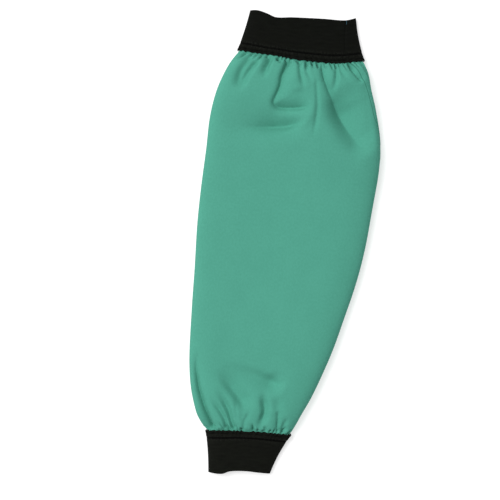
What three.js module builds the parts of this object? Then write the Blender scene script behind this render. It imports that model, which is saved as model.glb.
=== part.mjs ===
// A protective work sleeve for the forearm and elbow, lying flat on its back:
// a cotton tube gathered into a wide elastic cuff at each end.
// Millimetres. +Y runs up the arm, +Z is up, and the sleeve lies on z = 0.
import * as THREE from "three";

// Driving dimensions of the cloth tube.
const BODY_LENGTH = 375; // between the two cuffs' sewn edges
const BODY_WIDTH = 172.4; // widest place, lying flat
const BODY_HEIGHT = 28; // highest place, puffed by the gathers
const CLOTH_WALL = 1.2;

// Driving dimensions of the elastic cuffs.
const CUFF_LENGTH = 41;
const ELASTIC_WALL = 1.6;
const UPPER_FREE_WIDTH = 104.4;
const UPPER_SEAM_WIDTH = 126.2;
const WRIST_FREE_WIDTH = 60.4;
const WRIST_SEAM_WIDTH = 84.8;
const CUFF_FREE_HEIGHT = 12;
const CUFF_SEAM_HEIGHT = 18;

// The cloth that lies inside each cuff, and how far inside the elastic's outer face it lies.
const TUCK_SHARE = 0.22; // of the cuff's length
const TUCK = TUCK_SHARE * CUFF_LENGTH;
const TUCK_GAP = 0.7;
const TUCK_INSET_FACE = ELASTIC_WALL + TUCK_GAP;
const TUCK_INSET_SIDE = 1.9 * TUCK_INSET_FACE; // keeps the gap open round the tight side folds
const TUCK_CLEAR = 0.8; // the cloth keeps the tucked shape up to here, outside the cuff

// The lie of the sleeve: its cuffs sit left of the body's middle, and every section is a little skewed.
const FREE_SHIFT = -9.2;
const SEAM_SHIFT = -5.6;
const SKEW = 3.4; // rise of a section from its middle to its right-hand fold

// The gathers at each cuff.
const GATHERS_OVER = 14;
const GATHERS_UNDER = 10;
const POINTS_PER_GATHER = 4;
const GATHER_DEPTH = 4.4; // just outside the cuff
const TUCKED_DEPTH = 0.6; // where the elastic presses them flat
const UNDER_SHARE = 0.55; // of those depths underneath, where the sleeve's weight rests
const UPPER_GATHER_REACH = 74;
const WRIST_GATHER_REACH = 60;
const GATHER_OPENING = 8; // the way over which the gathers spring open outside the cuff
const UNEVENNESS = 2.4; // sets one gather apart from the next

// Facets round the tubes: over the top, and underneath.
const SIDES_OVER = GATHERS_OVER * POINTS_PER_GATHER;
const SIDES_UNDER = GATHERS_UNDER * POINTS_PER_GATHER;

// The tube's outline and height, as shares of half its width and of its height.
// along is 0 at the wrist cuff and 1 at the upper cuff, whose own sizes end the table.
const BODY_SECTIONS = [
  { along: 0.03, left: 0.657, right: 0.464, height: 0.7 },
  { along: 0.06, left: 0.724, right: 0.51, height: 0.78 },
  { along: 0.11, left: 0.8, right: 0.592, height: 0.82 },
  { along: 0.18, left: 0.855, right: 0.681, height: 0.82 },
  { along: 0.3, left: 0.897, right: 0.813, height: 0.8 },
  { along: 0.45, left: 0.951, right: 0.934, height: 0.8 },
  { along: 0.6, left: 0.984, right: 0.986, height: 0.84 },
  { along: 0.72, left: 0.994, right: 1, height: 0.92 },
  { along: 0.8, left: 1, right: 0.965, height: 0.98 },
  { along: 0.88, left: 0.966, right: 0.871, height: 1 },
  { along: 0.93, left: 0.916, right: 0.791, height: 0.95 },
  { along: 0.97, left: 0.853, right: 0.731, height: 0.84 },
];

// How a cuff widens and thickens from its free edge to its sewn edge.
const CUFF_FLARE = [
  { down: 0, flare: 0 },
  { down: 0.4, flare: 0.3 },
  { down: 1 - TUCK_SHARE, flare: 0.7 },
  { down: 1, flare: 1 },
];

// The waves of the cuffs' edges: how far each point rises along +Y, as a share of the cuff's length.
// across is -1 at the left-hand fold and 1 at the right-hand one.
const UPPER_FREE_EDGE = [
  { across: -1, rise: 0 },
  { across: -0.86, rise: 0.01 },
  { across: -0.68, rise: -0.05 },
  { across: -0.5, rise: -0.13 },
  { across: -0.2, rise: -0.105 },
  { across: 0.4, rise: -0.085 },
  { across: 0.8, rise: -0.08 },
  { across: 1, rise: 0 },
];
const UPPER_SEAM_EDGE = [
  { across: -1, rise: 0 },
  { across: -0.7, rise: -0.045 },
  { across: -0.4, rise: -0.07 },
  { across: -0.1, rise: -0.12 },
  { across: 0.45, rise: -0.14 },
  { across: 0.7, rise: -0.1 },
  { across: 1, rise: 0 },
];
const WRIST_SEAM_EDGE = [
  { across: -1, rise: 0 },
  { across: -0.4, rise: 0.037 },
  { across: 0.3, rise: 0.042 },
  { across: 1, rise: 0 },
];
const WRIST_FREE_EDGE = [
  { across: -1, rise: 0 },
  { across: -0.56, rise: -0.027 },
  { across: -0.3, rise: 0.04 },
  { across: 0.2, rise: 0.054 },
  { across: 0.55, rise: 0.03 },
  { across: 1, rise: 0 },
];

// The main folds of the upper layer, each a valley between two places.
// width is a share of the tube's width and depth a share of its height.
const FOLDS = [
  { name: "crease", across: -0.2, along: 0.98, toAcross: -0.25, toAlong: 0.87, width: 0.025, depth: 0.16 },
  { name: "ledge", across: -0.25, along: 0.865, toAcross: 0.2, toAlong: 0.875, width: 0.045, depth: 0.18 },
  { name: "band", across: -0.64, along: 0.8, toAcross: 0.1, toAlong: 0.825, width: 0.075, depth: 0.1 },
  { name: "pleat", across: 0.23, along: 0.95, toAcross: 0.23, toAlong: 0.84, width: 0.025, depth: 0.08 },
  { name: "valley_head", across: 0.3, along: 0.985, toAcross: 0.42, toAlong: 0.88, width: 0.04, depth: 0.16 },
  { name: "valley_tail", across: 0.44, along: 0.87, toAcross: 0.75, toAlong: 0.77, width: 0.065, depth: 0.15 },
  { name: "wrist_crease", across: -0.84, along: 0.02, toAcross: -0.9, toAlong: 0.13, width: 0.03, depth: 0.12 },
  { name: "wrist_dent", across: 0.2, along: 0.05, toAcross: 0.1, toAlong: 0.16, width: 0.05, depth: 0.1 },
];

// Places of the tube's rings outside the cuffs, from each cuff's sewn edge, as shares of the body's length.
const RINGS_FROM_UPPER = [0.013, 0.027, 0.045, 0.07, 0.1, 0.145, 0.2, 0.28];
const RINGS_FROM_WRIST = [0.013, 0.027, 0.045, 0.07, 0.1, 0.145, 0.21];
const PLAIN_RINGS = 3; // evenly spaced between those two sets

// Shape of every section.
const EDGE_SHARE = 0.3; // height of the side folds, as a share of the section's height
const TOP_ROUNDNESS = 2.4; // exponents of the superellipses: 2 is an ellipse, more is boxier
const UNDER_ROUNDNESS = 3.4;
const UNDER_PRESS = 1.07; // over 1 presses the middle of the underside flat
const DENSE_STEPS = 400; // steps of the exact curve that each section is spaced along

/** The smooth curve through one column of a table, as a function of another. */
function curveThrough(rows, at, column) {
  const places = rows.map((row) => row[at]);
  const values = rows.map((row) => row[column]);
  const spline = new THREE.CubicInterpolant(places, values, 1, new Float64Array(1));
  return (place) => spline.evaluate(THREE.MathUtils.clamp(place, places[0], places.at(-1)))[0];
}

const smooth = THREE.MathUtils.smoothstep;
const lerp = THREE.MathUtils.lerp;

/** Half of a section, as points evenly spaced from its left-hand fold to its right-hand fold. */
function halfSection(section, upper, steps) {
  const { left, right, floor, top } = section;
  const middle = (left + right) / 2;
  const half = (right - left) / 2;
  const edge = floor + EDGE_SHARE * (top - floor);
  const power = 2 / (upper ? TOP_ROUNDNESS : UNDER_ROUNDNESS);
  const dense = [];
  for (let i = 0; i <= DENSE_STEPS; i++) {
    const turn = (Math.PI * i) / DENSE_STEPS;
    const across = -Math.sign(Math.cos(turn)) * Math.abs(Math.cos(turn)) ** power;
    const lift = Math.max(0, Math.sin(turn)) ** power;
    const z = upper
      ? edge + (top - edge) * lift
      : floor + (edge - floor) * Math.max(0, 1 - UNDER_PRESS * lift);
    dense.push(new THREE.Vector3(middle + half * across, across, z));
  }
  const travelled = [0];
  for (let i = 1; i < dense.length; i++) {
    const step = Math.hypot(dense[i].x - dense[i - 1].x, dense[i].z - dense[i - 1].z);
    travelled.push(travelled[i - 1] + step);
  }
  const points = [];
  for (let i = 0, k = 0; i <= steps; i++) {
    const target = (travelled.at(-1) * i) / steps;
    while (k < DENSE_STEPS - 1 && travelled[k + 1] < target) k++;
    const share = (target - travelled[k]) / (travelled[k + 1] - travelled[k]);
    const spot = dense[k].clone().lerp(dense[k + 1], share);
    points.push({ x: spot.x, across: spot.y, z: spot.z });
  }
  return points;
}

/** A closed section: over the top from left to right, then back underneath. */
function sectionLoop(section) {
  const over = halfSection(section, true, SIDES_OVER);
  const under = halfSection(section, false, SIDES_UNDER);
  return [...over.slice(0, -1), ...under.reverse().slice(0, -1)];
}

/** Outward normals of a grid of rings, whose points run clockwise seen from +Y. */
function gridNormals(rings) {
  const sides = rings[0].length;
  return rings.map((ring, r) =>
    ring.map((_, i) => {
      const before = rings[Math.max(0, r - 1)][i];
      const after = rings[Math.min(rings.length - 1, r + 1)][i];
      const along = new THREE.Vector3().subVectors(after, before);
      const previous = ring[(i + sides - 1) % sides];
      const round = new THREE.Vector3().subVectors(ring[(i + 1) % sides], previous);
      const normal = round.cross(along);
      if (r === 0 || r === rings.length - 1) normal.y = 0; // keeps the end rims square
      return normal.normalize();
    }),
  );
}

/** A copy of the rings, each point moved against its normal by the depth given for it. */
function sunk(rings, depthAt) {
  const normals = gridNormals(rings);
  return rings.map((ring, r) =>
    ring.map((point, i) => point.clone().addScaledVector(normals[r][i], -depthAt(r, i))),
  );
}

/** A hollow tube open at both ends: an outer skin, an inner skin a wall below it, and two rims. */
function hollowTube(outer, wall) {
  const inner = sunk(outer, () => wall);
  const sides = outer[0].length;
  const rows = outer.length;
  const skin = rows * sides;
  const positions = [...outer.flat(), ...inner.flat()].flatMap((point) => point.toArray());
  const faces = [];
  const quad = (a, b, c, d) => faces.push(a, b, c, a, c, d);
  for (let r = 0; r < rows - 1; r++) {
    for (let i = 0; i < sides; i++) {
      const next = (i + 1) % sides;
      const [a, b, c, d] = [r * sides + i, r * sides + next, (r + 1) * sides + next, (r + 1) * sides + i];
      quad(a, b, c, d);
      quad(skin + d, skin + c, skin + b, skin + a);
    }
  }
  for (const [row, flip] of [[0, false], [rows - 1, true]]) {
    for (let i = 0; i < sides; i++) {
      const [a, b] = [row * sides + i, row * sides + ((i + 1) % sides)];
      if (flip) quad(a, b, skin + b, skin + a);
      else quad(skin + a, skin + b, b, a);
    }
  }
  const geometry = new THREE.BufferGeometry();
  geometry.setAttribute("position", new THREE.Float32BufferAttribute(positions, 3));
  geometry.setIndex(faces);
  geometry.computeVertexNormals();
  return geometry;
}

const seamRise = {
  upper: curveThrough(UPPER_SEAM_EDGE, "across", "rise"),
  wrist: curveThrough(WRIST_SEAM_EDGE, "across", "rise"),
};
const freeRise = {
  upper: curveThrough(UPPER_FREE_EDGE, "across", "rise"),
  wrist: curveThrough(WRIST_FREE_EDGE, "across", "rise"),
};
const seamWidth = { upper: UPPER_SEAM_WIDTH, wrist: WRIST_SEAM_WIDTH };
const freeWidth = { upper: UPPER_FREE_WIDTH, wrist: WRIST_FREE_WIDTH };
const direction = { upper: 1, wrist: -1 }; // along Y, from the body towards the cuff's free edge
const seamPlace = { upper: BODY_LENGTH / 2, wrist: -BODY_LENGTH / 2 };

/** The section of a cuff's outer face: down is 0 at its free edge and 1 at its sewn edge. */
function cuffSection(end, down, insetSide = 0, insetFace = 0) {
  const flare = curveThrough(CUFF_FLARE, "down", "flare")(down);
  const middle = lerp(FREE_SHIFT, SEAM_SHIFT, flare);
  const half = lerp(freeWidth[end], seamWidth[end], flare) / 2 - insetSide;
  const top = lerp(CUFF_FREE_HEIGHT, CUFF_SEAM_HEIGHT, flare) - insetFace;
  return { left: middle - half, right: middle + half, floor: insetFace, top };
}

/** How far a point of a cuff, or of the cloth inside it, rises along +Y with the waves of the edges. */
function cuffRise(end, across, down) {
  return SKEW * across + CUFF_LENGTH * lerp(freeRise[end](across), seamRise[end](across), down);
}

/** The outer skin of a cuff, as rings along +Y. */
function cuffRings(end) {
  const rings = CUFF_FLARE.map(({ down }) => {
    const y = seamPlace[end] + direction[end] * CUFF_LENGTH * (1 - down);
    return sectionLoop(cuffSection(end, down)).map(
      ({ x, across, z }) => new THREE.Vector3(x, y + cuffRise(end, across, down), z),
    );
  });
  return end === "upper" ? rings.reverse() : rings;
}

/** The section of the cloth at a distance from a cuff's sewn edge, where it lies inside that cuff. */
function tuckedSection(end, distance) {
  const down = Math.min(1, 1 + distance / CUFF_LENGTH);
  return cuffSection(end, down, TUCK_INSET_SIDE, TUCK_INSET_FACE);
}

/** The tube's rings from the wrist end to the upper end: each one's place, and the cuff it lies in, if any. */
function bodyRingPlaces() {
  const near = (end, shares) => {
    const tucked = [-TUCK, TUCK_CLEAR].map((distance) => ({ distance, tucked: end }));
    const free = shares.map((share) => ({ distance: share * BODY_LENGTH, tucked: null }));
    return [...tucked, ...free].map((ring) => ({ ...ring, y: seamPlace[end] - direction[end] * ring.distance }));
  };
  const wrist = near("wrist", RINGS_FROM_WRIST);
  const upper = near("upper", RINGS_FROM_UPPER).reverse();
  const plain = Array.from({ length: PLAIN_RINGS }, (_, i) => ({
    y: lerp(wrist.at(-1).y, upper[0].y, (i + 1) / (PLAIN_RINGS + 1)),
    tucked: null,
  }));
  return [...wrist, ...plain, ...upper];
}

/** The section of the cloth tube at one of its rings, as a function. */
function bodySectionAt() {
  const half = BODY_WIDTH / 2;
  const rows = [
    { along: 0, ...tuckedSection("wrist", 0) },
    ...BODY_SECTIONS.map(({ along, left, right, height }) => ({
      along,
      left: -left * half,
      right: right * half,
      top: height * BODY_HEIGHT,
    })),
    { along: 1, ...tuckedSection("upper", 0) },
  ];
  const [left, right, top] = ["left", "right", "top"].map((column) => curveThrough(rows, "along", column));
  return ({ y, tucked, distance }) => {
    if (tucked) return tuckedSection(tucked, distance);
    const along = (y - seamPlace.wrist) / BODY_LENGTH;
    return { left: left(along), right: right(along), floor: 0, top: top(along) };
  };
}

/** How deep the gathers of one cuff are at a distance from its sewn edge, at a point of a ring. */
function gatherDepth(distance, point, reach) {
  const cell = Math.floor(point / POINTS_PER_GATHER);
  const profile = (1 - Math.cos((2 * Math.PI * point) / POINTS_PER_GATHER)) / 2;
  const uneven = Math.abs(Math.sin(UNEVENNESS * cell));
  const ownReach = reach * lerp(0.4, 1, uneven);
  const fade = 1 - smooth(distance, 0.15 * ownReach, ownReach);
  const free = lerp(TUCKED_DEPTH, GATHER_DEPTH * lerp(1, 0.6, uneven), smooth(distance, 0, GATHER_OPENING));
  return profile * free * fade * (point < SIDES_OVER ? 1 : UNDER_SHARE);
}

/** How deep the main folds of the upper layer are at a place on it. */
function foldDepth(across, along) {
  let depth = 0;
  for (const fold of FOLDS) {
    // Places are compared in millimetres of the flat tube.
    const start = new THREE.Vector2((fold.across * BODY_WIDTH) / 2, fold.along * BODY_LENGTH);
    const end = new THREE.Vector2((fold.toAcross * BODY_WIDTH) / 2, fold.toAlong * BODY_LENGTH);
    const here = new THREE.Vector2((across * BODY_WIDTH) / 2, along * BODY_LENGTH);
    const run = end.clone().sub(start);
    const share = THREE.MathUtils.clamp(here.clone().sub(start).dot(run) / run.lengthSq(), 0, 1);
    const away = here.distanceTo(start.clone().addScaledVector(run, share));
    depth = Math.max(depth, fold.depth * BODY_HEIGHT * Math.exp(-((away / (fold.width * BODY_WIDTH)) ** 2)));
  }
  return depth;
}

/** The outer skin of the cloth tube. */
function bodyRings() {
  const sectionAt = bodySectionAt();
  const loops = bodyRingPlaces().map((place) => ({
    points: sectionLoop(sectionAt(place)),
    y: place.y,
    tucked: place.tucked,
    fromUpper: seamPlace.upper - place.y,
    fromWrist: place.y - seamPlace.wrist,
  }));
  const riseNear = (end, distance, across, reach) =>
    cuffRise(end, across, Math.min(1, 1 + distance / CUFF_LENGTH)) * (1 - smooth(distance, 0, reach));
  const plain = loops.map(({ points, y, fromUpper, fromWrist }) =>
    points.map(({ x, across, z }) => {
      const upperRise = riseNear("upper", fromUpper, across, UPPER_GATHER_REACH);
      const wristRise = riseNear("wrist", fromWrist, across, WRIST_GATHER_REACH);
      return new THREE.Vector3(x, y + upperRise + wristRise, z);
    }),
  );
  return sunk(plain, (r, i) => {
    const { points, tucked, fromUpper, fromWrist } = loops[r];
    const gathers =
      gatherDepth(fromUpper, i, UPPER_GATHER_REACH) + gatherDepth(fromWrist, i, WRIST_GATHER_REACH);
    const folds = tucked || i > SIDES_OVER ? 0 : foldDepth(points[i].across, fromWrist / BODY_LENGTH);
    return Math.max(gathers, folds);
  });
}

const cloth = new THREE.MeshStandardMaterial({ color: "#56a590", roughness: 0.9, metalness: 0 });
const elastic = new THREE.MeshStandardMaterial({ color: "#161814", roughness: 0.85, metalness: 0 });

const sleeve = new THREE.Group();
const pieces = [
  ["sleeve_body", hollowTube(bodyRings(), CLOTH_WALL), cloth],
  ["upper_cuff", hollowTube(cuffRings("upper"), ELASTIC_WALL), elastic],
  ["wrist_cuff", hollowTube(cuffRings("wrist"), ELASTIC_WALL), elastic],
];
for (const [name, geometry, material] of pieces) {
  const mesh = new THREE.Mesh(geometry, material);
  mesh.name = name;
  sleeve.add(mesh);
}

// The origin is under the middle of the whole sleeve.
const extent = new THREE.Box3().setFromObject(sleeve);
const centre = extent.getCenter(new THREE.Vector3());
sleeve.position.set(-centre.x, -centre.y, -extent.min.z);

export default sleeve;
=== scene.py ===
"""A cloth work sleeve lying flat: a gathered cotton tube between two wide elastic cuffs.

Sizes are in millimetres and meshes are made in metres, in the frame's own axes: +Y runs from the
wrist to the upper arm and +Z is up. Places on the sleeve are shares: across goes from -1 at a
section's left-hand fold to 1 at its right-hand fold, along is 0 at the wrist cuff's sewn edge and
1 at the upper cuff's, and down is 0 at a cuff's free edge and 1 at its sewn edge. A loop of columns
runs from the left-hand fold over the top to the right-hand fold, and back underneath.
"""

from __future__ import annotations

import logging
import math
from dataclasses import dataclass, field
from enum import Enum
from typing import Sequence

import bpy
import numpy as np
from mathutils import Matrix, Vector


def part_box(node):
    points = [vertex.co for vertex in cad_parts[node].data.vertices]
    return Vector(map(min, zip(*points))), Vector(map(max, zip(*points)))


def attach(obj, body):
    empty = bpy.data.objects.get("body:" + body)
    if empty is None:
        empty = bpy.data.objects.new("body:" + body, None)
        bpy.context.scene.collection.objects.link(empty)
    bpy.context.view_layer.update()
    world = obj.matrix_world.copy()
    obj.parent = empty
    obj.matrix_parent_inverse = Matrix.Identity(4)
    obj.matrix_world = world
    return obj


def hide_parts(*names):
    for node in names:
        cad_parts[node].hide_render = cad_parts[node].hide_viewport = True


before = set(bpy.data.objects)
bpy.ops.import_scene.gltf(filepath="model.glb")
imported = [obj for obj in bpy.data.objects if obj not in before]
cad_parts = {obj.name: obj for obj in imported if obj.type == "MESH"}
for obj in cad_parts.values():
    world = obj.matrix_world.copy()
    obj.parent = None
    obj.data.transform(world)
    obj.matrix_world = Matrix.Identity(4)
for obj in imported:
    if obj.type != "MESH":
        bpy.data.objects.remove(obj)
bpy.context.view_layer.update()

MM = 0.001  # metres in a millimetre
LOG = logging.getLogger("sleeve")

Pairs = Sequence[tuple[float, float]]
Span = tuple[float, float]
Colour = tuple[float, float, float]
Values = np.ndarray | float

# A wave texture's scale for bands that are a metre apart
STRAIGHT_BANDS = 0.314
DIAGONAL_BANDS = 0.444
# The sockets of a Mix node that mixes colours
MIX_SHARE, MIX_UNDER, MIX_OVER, MIX_COLOUR = 0, 6, 7, 2


def smooth_step(low: float, high: float, value: Values) -> np.ndarray:
    """Rises smoothly from 0 to 1 between two values.

    Args:
        low: Where the rise starts.
        high: Where it ends.
        value: The values to turn into shares.

    Returns:
        The shares, from 0 to 1.
    """
    share = np.clip((np.asarray(value, float) - low) / (high - low), 0.0, 1.0)
    return share * share * (3.0 - 2.0 * share)


def mix(start: Values, end: Values, share: Values) -> Values:
    """Mixes two values by a share.

    Args:
        start: The value at share 0.
        end: The value at share 1.
        share: How far from start to end.

    Returns:
        The mixed value.
    """
    return start + (end - start) * share


def curve_through(rows: Pairs, places: Values) -> np.ndarray:
    """Follows a smooth curve through the rows of a table.

    Args:
        rows: Pairs of a place and its value, in rising order of place.
        places: Where the curve is read. It is flat past both ends.

    Returns:
        The values there.
    """
    knots, values = (np.array(column, float) for column in zip(*rows))
    slopes = np.zeros_like(values)
    slopes[1:-1] = (values[2:] - values[:-2]) / (knots[2:] - knots[:-2])
    slopes[0] = 1.5 * (values[1] - values[0]) / (knots[1] - knots[0]) - 0.5 * slopes[1]
    slopes[-1] = 1.5 * (values[-1] - values[-2]) / (knots[-1] - knots[-2]) - 0.5 * slopes[-2]
    at = np.clip(np.asarray(places, float), knots[0], knots[-1])
    cell = np.clip(np.searchsorted(knots, at) - 1, 0, len(knots) - 2)
    step = knots[cell + 1] - knots[cell]
    t = (at - knots[cell]) / step
    return (
        (1 + 2 * t) * (1 - t) ** 2 * values[cell]
        + t * (1 - t) ** 2 * step * slopes[cell]
        + t * t * (3 - 2 * t) * values[cell + 1]
        - t * t * (1 - t) * step * slopes[cell + 1]
    )


def grid_normals(points: np.ndarray) -> np.ndarray:
    """Works out the outward normals of a grid of closed rings that follow each other along +Y.

    Args:
        points: The rings, as an array of rings by columns by 3.

    Returns:
        Unit normals, in the same layout.
    """
    along = np.gradient(points, axis=0)
    round_it = np.roll(points, -1, axis=1) - np.roll(points, 1, axis=1)
    normals = np.cross(round_it, along)
    return normals / np.maximum(np.linalg.norm(normals, axis=2, keepdims=True), 1e-9)


def travelled_round(points: np.ndarray) -> np.ndarray:
    """Measures the way round each ring from its first column.

    Args:
        points: The rings, as an array of rings by columns by 3.

    Returns:
        The distances, rings by columns.
    """
    steps = np.linalg.norm(np.diff(points, axis=1), axis=2)
    return np.concatenate([np.zeros((len(points), 1)), np.cumsum(steps, axis=1)], axis=1)


class End(Enum):
    """The two ends of the sleeve, each with its direction away from the body along Y."""

    UPPER = 1
    WRIST = -1


class Relief(Enum):
    """The ways that a fold shapes the cloth across its line."""

    VALLEY = "a rounded hollow"
    CREASE = "a hollow that comes to a sharp line"
    SWELL = "a rounded rise"


@dataclass(frozen=True)
class Section:
    """A flattened cross-section of the sleeve, in millimetres."""

    left: float
    right: float
    floor: float
    top: float


@dataclass(frozen=True)
class Fold:
    """A fold of the upper layer of cloth, in millimetres."""

    name: str
    relief: Relief
    left: float  # the width of its left-hand side, looking along the line
    right: float
    depth: float
    line: Pairs  # to the right and up on the plan, from the plan's middle
    spread: float = 1.5  # how much wider it is at the end of its line
    start: float = 0.1  # share of the line over which it sets in
    finish: float = 0.5  # share of the line over which it dies out
    along: Pairs = ((0.0, 1.0), (1.0, 1.0))  # share of the line, and the share of the depth there
    crease_tip: float = 0.01  # how much a crease's sharp line is rounded off

    def height(self, line: np.ndarray, plan: np.ndarray) -> np.ndarray:
        """Gives the fold's height over the plain cloth.

        Args:
            line: The smoothed line, as rows of x and y.
            plan: The cloth's points seen from above, as rows of x and y.

        Returns:
            One height for each point, in millimetres, negative in a hollow.
        """
        nearest = np.full(len(plan), 1e9)
        signed = np.zeros(len(plan))
        travel = np.zeros(len(plan))
        pieces = len(line) - 1
        for index in range(pieces):
            run = line[index + 1] - line[index]
            offset = plan - line[index]
            share = np.clip(offset @ run / (run @ run), 0.0, 1.0)
            gap = offset - share[:, None] * run
            distance = np.hypot(gap[:, 0], gap[:, 1])
            closer = distance < nearest
            side = np.sign(run[0] * offset[:, 1] - run[1] * offset[:, 0])
            nearest = np.where(closer, distance, nearest)
            signed = np.where(closer, distance * side, signed)
            travel = np.where(closer, (index + share) / pieces, travel)
        width = np.where(signed > 0, self.left, self.right) * mix(1.0, self.spread, travel)
        near = nearest / width
        if self.relief is Relief.SWELL:
            shape = np.exp(-(near**2))
        elif self.relief is Relief.CREASE:
            shape = -np.exp(math.sqrt(self.crease_tip) - np.sqrt(near**2 + self.crease_tip))
        else:
            shape = -np.exp(-(near**2))
        sets_in = smooth_step(0.0, self.start, travel)
        dies_out = smooth_step(1 - self.finish, 1.0, travel)
        taper = sets_in * (1 - dies_out)
        return self.depth * shape * taper * curve_through(self.along, travel)


@dataclass(frozen=True)
class Ruffle:
    """The gathers of one end of the cloth tube: its small pleats and its broad waves."""

    pleats_over: int
    pleats_under: int
    pleat_depth: float
    pleat_reach: float
    waves: int  # over the top, and as many underneath
    wave_depth: float
    wave_reach: float
    puff: float  # how far the top swells out of the cuff
    seed: int


@dataclass(frozen=True)
class LoopShape:
    """How a section's outline is drawn: powers over 2 are boxier than an ellipse."""

    edge_share: float = 0.3  # height of the side folds, as a share of the section's height
    top_power: float = 2.4  # over the top of the cuffs
    body_power: float = 3.2  # over the top of the full body, to the right of its middle
    left_power: float = 5.2  # and to the left
    under_power: float = 3.4
    under_press: float = 1.07  # over 1, the underside is pressed flat
    fine_steps: int = 600

    def half(self, section: Section, over: bool, steps: int, fullness: float) -> np.ndarray:
        """Draws half of a section, from its left-hand fold to its right-hand fold.

        Args:
            section: The section to draw.
            over: True for the upper half.
            steps: How many even steps it has.
            fullness: 0 in the cuffs and 1 where the body is full.

        Returns:
            Rows of x, the share across the section and z.
        """
        middle = (section.left + section.right) / 2
        half_width = (section.right - section.left) / 2
        edge = section.floor + self.edge_share * (section.top - section.floor)
        turn = np.linspace(0, math.pi, self.fine_steps + 1)
        cosine = np.cos(turn)
        full_power = np.where(cosine > 0, self.left_power, self.body_power)
        power = 2 / (mix(self.top_power, full_power, fullness) if over else self.under_power)
        across = -np.sign(cosine) * np.abs(cosine) ** power
        lift = np.maximum(np.sin(turn), 0.0) ** power
        if over:
            z = edge + (section.top - edge) * lift
        else:
            pressed = np.maximum(0.0, 1 - self.under_press * lift)
            z = section.floor + (edge - section.floor) * pressed
        x = middle + half_width * across
        travelled = np.concatenate([[0.0], np.cumsum(np.hypot(np.diff(x), np.diff(z)))])
        even = np.linspace(0, travelled[-1], steps + 1)
        return np.column_stack([np.interp(even, travelled, values) for values in (x, across, z)])

    def loop(self, section: Section, over_steps: int, under_steps: int, fullness: float) -> np.ndarray:
        """Draws a closed section: over the top from left to right, then back underneath.

        Args:
            section: The section to draw.
            over_steps: Columns of the upper half.
            under_steps: Columns of the lower half.
            fullness: 0 in the cuffs and 1 where the body is full.

        Returns:
            Rows of x, the share across the section and z.
        """
        over = self.half(section, True, over_steps, fullness)
        under = self.half(section, False, under_steps, fullness)[::-1]
        return np.vstack([over[:-1], under[:-1]])


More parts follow.
